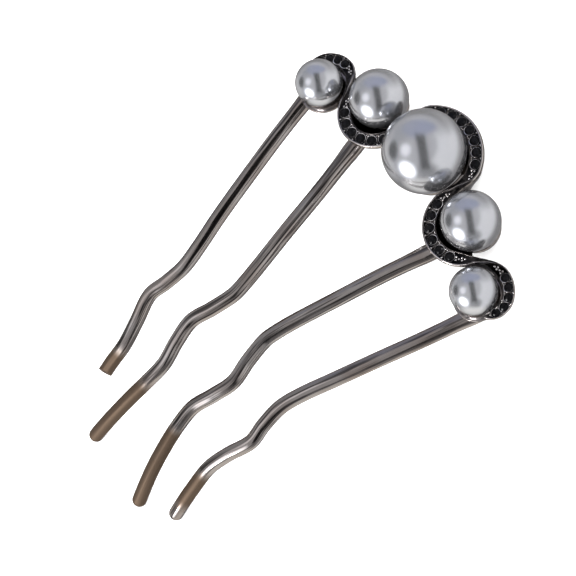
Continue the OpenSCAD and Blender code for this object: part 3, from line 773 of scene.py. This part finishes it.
def toothPart(side, outer, cut):
    # round rod along its wave: it falls evenly and bends down with a power of its length, the root widens
    # sideways with the square of the distance to the end of the web, and the flats are waves of the radius
    # round the rod
    value = toothValues
    root, table, reach, rootZ, bend, sink = toothPlace(outer)
    end = 1 - value["cut"] / reach if cut else 1
    u = np.linspace(-sink / reach, end, value["along"])
    toEnd = (end - u) * reach
    line = np.stack([
        side * root[0] * tableCurve(table, u), root[1] - reach * u,
        rootZ - value["fall"] * reach * u - bend * np.maximum(u, 0) ** value["bendPower"]], axis=1)
    tangent = np.gradient(line, axis=0)
    tangent /= np.linalg.norm(tangent, axis=1, keepdims=True)
    sideways = np.cross(tangent, [0, 0, 1.0])
    sideways /= np.linalg.norm(sideways, axis=1, keepdims=True)
    upward = np.cross(sideways, tangent)
    radius = (value["rootDiameter"] + (value["tipDiameter"] - value["rootDiameter"]) * np.maximum(u, 0)) / 2
    web = value["web"] * np.maximum(0, 1 - np.maximum(u * reach, 0) / value["webLength"]) ** 2
    angle = np.linspace(0, 2 * np.pi, value["around"], endpoint=False)
    start = value["flatsApart"] * side + outer
    fade = np.clip(toEnd[:, None] / value["flatsFade"], 0, 1)
    flats = 1 + fade * sum(depth * np.cos(count * angle + start * count + 2 * np.pi * turns * u[:, None])
                           for count, depth, turns in value["flats"])
    arms = (sideways[:, None] * ((radius + web)[:, None] * flats * np.cos(angle))[..., None]
            + upward[:, None] * (radius[:, None] * flats * np.sin(angle))[..., None])
    rings = line[:, None] + arms
    if cut:
        rings, cap, pole = slantTip(line[-1], rings, arms, tangent, toEnd)
    else:
        cap, pole = ballTip(line[-1], tangent[-1], radius[-1], arms[-1])
    rings = np.concatenate([rings, cap])
    # the tan of the tips, soft at its start
    fromTip = np.concatenate([(1 - u) * reach, np.zeros(len(cap))])
    tan = np.clip(((value["tanOuter"] if outer else value["tanInner"]) - fromTip) / value["tanChange"], 0, 1)
    if outer and not cut:
        tan = np.minimum(tan, np.clip(fromTip / value["bareEnd"] - value["bareFrom"], 0, 1))
    tan = np.append(np.repeat(tan * tan * (3 - 2 * tan), value["around"]), [0, tan[-1]])
    # the place on the drawn plating: direction round the tooth and length along it
    place = value["drawnShare"] * np.append(u * reach, np.full(len(cap), end * reach))
    place = place + value["drawnApart"] * (side + 0.5 * outer)
    drawn = np.stack(np.broadcast_arrays(np.cos(angle), np.sin(angle), place[:, None]), axis=-1)
    drawn = np.concatenate([drawn.reshape(-1, 3), [[0, 0, place[0]], [0, 0, place[-1]]]])
    return tubePart(rings, (line[0], pole)) + (tan, drawn)


# name, side, outer, cut
toothPlan = (("tooth_outer_left", -1, True, True), ("tooth_inner_left", -1, False, False),
             ("tooth_inner_right", 1, False, False), ("tooth_outer_right", 1, True, False))
teeth = []
for name, side, outer, cut in toothPlan:
    points, walls, ends, tan, drawn = toothPart(side, outer, cut)
    teeth.append(meshPiece(name, points, [walls, ends], drawnMetal, tip=tan, drawn=drawn))
print("teeth made")


# Settings: a thin collar round each stone, and cast grains between stones and at the ends of the rows


settingValues = {
    # a collar: room beside the stone, least and most half thickness, height over the groove's floor
    "collarGap": 0.06, "collarThin": 0.02, "collarThick": 0.105, "collarLift": 0.14,
    "collarAround": 40, "collarSection": 8,
    # radii of the grains between stones and past a row, and the height of their centres over the floor
    "grain": 0.19, "endGrain": 0.22, "grainLift": 0.12,
    "grainInset": 0.12,  # from the edge of the groove
    "grainSpread": 0.27,
    # grains between two stones: side of the groove, shift along it in spreads, size as a share
    "lanes": ((1, 0, 1.0), (-1, 0.6, 0.8), (-1, -0.6, 0.8)),
    # lines of grains past each end of a row: how many in each, gap to the stone, step along and across,
    # and how much closer across each further line is
    "endRows": (2, 1, 2, 1), "endGap": 0.3, "endStep": 0.5, "endCloser": 0.08,
}


def copies(base, centres, sizes):
    # the same small closed part at many places, each at its own size
    points, walls, ends = base
    placed = centres[:, None] + points[None] * sizes[:, None, None]
    offset = (np.arange(len(centres)) * len(points))[:, None, None]
    return placed.reshape(-1, 3), [(walls[None] + offset).reshape(-1, walls.shape[1]),
                                   (ends[None] + offset).reshape(-1, 3)]


def unitBall(rows, around):
    # a half circle turned round the vertical
    a = np.linspace(0, np.pi, rows)
    return revolved(np.stack([np.sin(a), np.cos(a)], axis=1), np.zeros(3), around)


def collarPiece():
    # rings at each stone's floor: a small circle carried round a larger one, thickest beside the pearl
    value = settingValues
    spots = stoneSpots()
    big = np.linspace(0, 2 * np.pi, value["collarAround"], endpoint=False)
    small = np.linspace(0, 2 * np.pi, value["collarSection"], endpoint=False)
    radius = spots[:, 2] / 2 + value["collarGap"]
    sides = np.array([row[1] for row in stoneValues["rows"]])[spots[:, 3].astype(int)]
    away = np.radians(spots[:, 4])
    inwards = -(sides * np.cos(away))[:, None] * np.cos(big) - np.sin(away)[:, None] * np.sin(big)
    near = np.clip(0.2 + 0.8 * inwards, 0, 1)
    thick = value["collarThin"] + (value["collarThick"] - value["collarThin"]) * near
    out = radius[:, None, None] + thick[..., None] * np.cos(small)
    height = rimAt(spots[:, 0]) - channelValues["grooveDepth"] + value["collarLift"]
    points = np.stack([
        spots[:, 0, None, None] + out * np.cos(big)[:, None],
        spots[:, 1, None, None] + out * np.sin(big)[:, None],
        height[:, None, None] + thick[..., None] * np.sin(small)], axis=-1)
    index = np.arange(points[..., 0].size).reshape(points.shape[:3])
    nextBig, nextSmall = np.roll(index, -1, axis=1), np.roll(index, -1, axis=2)
    quads = np.stack([index, nextBig, np.roll(nextBig, -1, axis=2), nextSmall], axis=-1).reshape(-1, 4)
    return meshPiece("stone_collars", points.reshape(-1, 3), [quads], brightCut)


def grainPiece():
    # between neighbours a grain at the outer rim and two smaller ones at the inner rim, then short lines
    # of grains past both ends of each row
    value = settingValues
    bars = betweenStones()
    place, across, half = bars[:, :2], bars[:, 2:4], bars[:, 4, None]
    along = np.stack([-across[:, 1], across[:, 0]], axis=1)
    spots, sizes = [], []
    for lane, shift, size in value["lanes"]:
        toRim = lane * across * (half - value["grainInset"])
        spots.append(place + toRim + along * shift * value["grainSpread"])
        sizes.append(np.full(len(place), value["grain"] * size))
    for kind, side, first, pitch, count in stoneValues["rows"]:
        radius = ringOf(kind)[1]
        for end, direction in ((first, -1), (first + pitch * (count - 1), 1)):
            sign = direction * math.copysign(1, pitch)
            for row, number in enumerate(value["endRows"]):
                away = stoneSize(kind) / 2 + value["endGap"] + value["endStep"] * row
                angle = np.full(number, end + sign * math.degrees(away / radius))
                apart = value["endStep"] * (1 - value["endCloser"] * row)
                lanes = (np.arange(number) - (number - 1) / 2) * apart
                spots.append(onRing(kind, angle, lanes) * np.array([side, 1]))
                sizes.append(np.full(number, value["endGrain"]))
    spots, sizes = np.concatenate(spots), np.concatenate(sizes)
    height = rimAt(spots[:, 0]) - channelValues["grooveDepth"] + value["grainLift"]
    points, faces = copies(unitBall(7, 10), np.column_stack([spots, height]), sizes)
    return meshPiece("setting_grains", points, faces, brightCut)


collars, grains = collarPiece(), grainPiece()
print("settings made")


# Pearls


pearlValues = {"around": 128, "down": 80}


def pearlPiece(name):
    # a ball as a turned profile, with the blind hole that takes the peg
    centre, radius = pearls[name]
    hole = cupValues["pegDiameter"] / 2 + cupValues["pegGap"]
    seat = centre[2] - radius
    depth = -radius - seat / 2 + cupValues["pegLength"] + cupValues["pegGap"]
    a = np.linspace(0, np.pi - math.asin(hole / radius), pearlValues["down"])
    skin = radius * np.stack([np.sin(a), np.cos(a)], axis=1)
    profile = np.concatenate([skin, [[hole, depth], [0, depth]]])
    points, walls, ends = revolved(profile, centre, pearlValues["around"])
    return meshPiece(name + "_ball", points, [walls, ends], pearlLacquer)


balls = {name: pearlPiece(name) for name in pearls}
print("pearls made")

for piece in [channel, cups, collars, grains] + teeth:
    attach(piece, "root")
    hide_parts("fork")
for name, piece in balls.items():
    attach(piece, "root")
    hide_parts(name)
for name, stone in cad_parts.items():
    if name.startswith("stone_"):
        stone.data.materials.clear()
        stone.data.materials.append(blackGlass)
print("stones finished")


# Camera, table and light


cameraValues = {
    "aim": (0.93, -31.33, 0.0),  # in head millimetres, the point in the middle of the picture
    "distance": 627.7,
    "leanRight": 27.63, "leanUp": 2.93,  # from square above the head, in degrees
    "roll": 53.04,  # counter-clockwise turn of the picture's upright from the head's, in degrees
    "lens": 238.98,
}


def cameraAxes():
    # the camera's right, up and back in the head's measures: leaned over from square above, then rolled
    right, up = math.radians(cameraValues["leanRight"]), math.radians(cameraValues["leanUp"])
    back = np.array([math.sin(right) * math.cos(up), math.sin(up), math.cos(right) * math.cos(up)])
    level = np.cross([0, 1.0, 0], back)
    level /= np.linalg.norm(level)
    upright = np.cross(back, level)
    roll = math.radians(cameraValues["roll"])
    sine, cosine = math.sin(roll), math.cos(roll)
    return level * cosine + upright * sine, upright * cosine - level * sine, back


axisRight, axisUp, axisBack = (headTurn @ axis for axis in cameraAxes())


def turnedTo(thing, right, up, back, place):
    # its own axes and its place are the columns of its matrix
    matrix = Matrix.Identity(4)
    for column, axis in enumerate((right, up, back, place)):
        for row in range(3):
            matrix[row][column] = float(axis[row])
    thing.matrix_world = matrix
    bpy.context.scene.collection.objects.link(thing)


def addCamera():
    place = toFrame(np.array(cameraValues["aim"]) + cameraAxes()[2] * cameraValues["distance"])
    data = bpy.data.cameras.new("photo camera")
    data.lens = cameraValues["lens"]
    data.clip_start, data.clip_end = 0.05, 20
    camera = bpy.data.objects.new("photo camera", data)
    turnedTo(camera, axisRight, axisUp, axisBack, place)
    bpy.context.scene.camera = camera


def seenFrom(view):
    # a direction given as the camera sees it (right, up, towards the camera), in the frame
    v = view[0] * axisRight + view[1] * axisUp + view[2] * axisBack
    return v / np.linalg.norm(v)


tableValues = {"size": 3.0, "colour": (0.93, 0.93, 0.93), "tint": (0.90, 0.90, 0.905)}


def addTable():
    half = tableValues["size"] / 2
    corners = [(-half, -half, 0), (half, -half, 0), (half, half, 0), (-half, half, 0)]
    mesh = bpy.data.meshes.new("table")
    mesh.from_pydata(corners, [], [(0, 1, 2, 3)])
    table = bpy.data.objects.new("table", mesh)
    bpy.context.scene.collection.objects.link(table)
    material, nodes, links, shader = startMaterial("pale table")
    clouds = ranged(nodes, links, stretchedNoise(nodes, links, 6), 0, 1)
    colour = mixed(nodes, links, clouds, tableValues["colour"], tableValues["tint"])
    links.new(colour, shader.inputs["Base Color"])
    shader.inputs["Roughness"].default_value = 1.0
    shader.inputs["Specular IOR Level"].default_value = 0.0
    mesh.materials.append(material)
    table.visible_glossy = False


lightValues = {
    "room": 3.6,  # plain white for all but reflections
    "studio": (0.56, 0.56, 0.58),  # what polished pieces see, where nothing below stands before it
    "floor": (0.34, 0.33, 0.33),  # under the horizon
    "wall": (1.0, 1.0, 1.01),  # pale wall on the camera's right
    "wallTop": 0.62, "wallFoot": -0.45,  # its ends, by the height of a direction
    # soft panels as the camera sees them: direction, inner and outer angle in degrees, colour
    "panels": (
        ((-0.70, 0.70, 0.10), 10, 38, (0.40, 0.41, 0.44)),
        ((-0.24, 0.88, 0.42), 8, 38, (0.35, 0.38, 0.53)),
        ((-0.50, 0.85, 0.14), 5, 24, (0.36, 0.385, 0.50)),
        ((0.16, 0.91, 0.38), 3, 22, (0.35, 0.38, 0.52)),
        ((0.10, -0.83, 0.50), 12, 34, (0.34, 0.34, 0.35)),
        ((0.00, -0.93, -0.37), 14, 40, (1.15, 1.13, 1.08)),
        ((-0.78, -0.15, -0.60), 10, 34, (0.80, 0.79, 0.78)),
        ((-1.0, 0.03, -0.08), 9, 24, (0.04, 0.04, 0.04)),
        ((-0.80, 0.03, 0.60), 6, 20, (1.3, 1.3, 1.36)),
        ((-0.65, -0.71, 0.27), 9, 26, (3.0, 3.05, 3.2)),
    ),
    # dark upright on the camera's side: place and half width across, soft edge, middle and half length
    # up, soft ends, lean
    "bar": {"centre": -0.1, "half": 0.14, "soft": 0.15, "middle": -0.05, "up": 0.6, "fade": 0.28,
            "slant": 0.16, "colour": (0.0, 0.0, 0.0)},
    # seen as the panels are, and from the middle pearl
    "lampDirection": (-0.65, -0.71, 0.27), "lampDistance": 0.7, "lampSize": 0.16, "lampPower": 2.2,
}


def addStudio():
    # plain white room for the table; what shines sees the studio, its floor, a pale wall, soft panels
    # and one dark upright, laid over each other in that order
    world = bpy.data.worlds.new("studio")
    bpy.context.scene.world = world
    world.use_nodes = True
    nodes, links = world.node_tree.nodes, world.node_tree.links
    direction = nodes.new("ShaderNodeTexCoord").outputs["Generated"]
    value = lightValues

    def along(axis):
        # how far a direction points along an axis
        node = nodes.new("ShaderNodeVectorMath")
        node.operation = "DOT_PRODUCT"
        node.inputs[1].default_value = tuple(float(v) for v in axis)
        links.new(direction, node.inputs[0])
        return node.outputs["Value"]

    def calculated(operation, a, b):
        # each of a and b is a number or a socket
        node = nodes.new("ShaderNodeMath")
        node.operation = operation
        for term, socket in ((a, node.inputs[0]), (b, node.inputs[1])):
            if isinstance(term, (int, float)):
                socket.default_value = term
            else:
                links.new(term, socket)
        return node.outputs[0]

    def smooth(term, zero, one):
        # none at zero and all at one, with soft ends
        node = nodes.new("ShaderNodeMapRange")
        node.interpolation_type = "SMOOTHSTEP"
        node.inputs["From Min"].default_value = zero
        node.inputs["From Max"].default_value = one
        links.new(term, node.inputs["Value"])
        return node.outputs["Result"]

    level = along((0, 0, 1))
    below = smooth(level, 0.05, -0.3)
    toRight = smooth(along(axisRight), -0.1, 0.45)
    wall = calculated("MULTIPLY", toRight, smooth(level, value["wallTop"], value["wallTop"] - 0.3))
    wall = calculated("MULTIPLY", wall, smooth(level, value["wallFoot"] - 0.4, value["wallFoot"]))
    wall = calculated("MULTIPLY", wall, smooth(along(axisUp), 0.95, 0.4))
    colour = mixed(nodes, links, below, value["studio"], value["floor"])
    colour = mixed(nodes, links, wall, colour, value["wall"])
    for view, inner, outer, panel in value["panels"]:
        share = smooth(along(seenFrom(view)), math.cos(math.radians(outer)), math.cos(math.radians(inner)))
        colour = mixed(nodes, links, share, colour, panel)
    bar = value["bar"]
    across = calculated("SUBTRACT", along(axisRight), calculated("MULTIPLY", along(axisUp), -bar["slant"]))
    across = calculated("ABSOLUTE", calculated("SUBTRACT", across, bar["centre"]), 0)
    share = smooth(across, bar["half"] + bar["soft"], bar["half"])
    ends = calculated("ABSOLUTE", calculated("SUBTRACT", along(axisUp), bar["middle"]), 0)
    share = calculated("MULTIPLY", share, smooth(ends, bar["up"] + bar["fade"], bar["up"]))
    share = calculated("MULTIPLY", share, smooth(along(axisBack), 0.2, 0.5))
    colour = mixed(nodes, links, share, colour, bar["colour"])
    glossy = nodes.new("ShaderNodeLightPath").outputs["Is Glossy Ray"]
    colour = mixed(nodes, links, glossy, (value["room"],) * 3, colour)
    links.new(colour, nodes["Background"].inputs["Color"])


def addSoftbox():
    # round lamp low on the camera's left, for the main highlight; it doesn't light what is dull
    data = bpy.data.lights.new("front softbox", "AREA")
    data.shape = "DISK"
    data.size = lightValues["lampSize"]
    data.energy = lightValues["lampPower"]
    lamp = bpy.data.objects.new("front softbox", data)
    lamp.visible_diffuse = False
    towards = seenFrom(lightValues["lampDirection"])
    place = toFrame(pearls["pearl_middle"][0]) + towards * lightValues["lampDistance"]
    side = np.cross([0, 0, 1.0], towards)
    side /= np.linalg.norm(side)
    turnedTo(lamp, side, np.cross(towards, side), towards, place)


addCamera()
addTable()
addStudio()
addSoftbox()
bpy.context.scene.view_settings.view_transform = "Standard"
print("camera, table and light set")
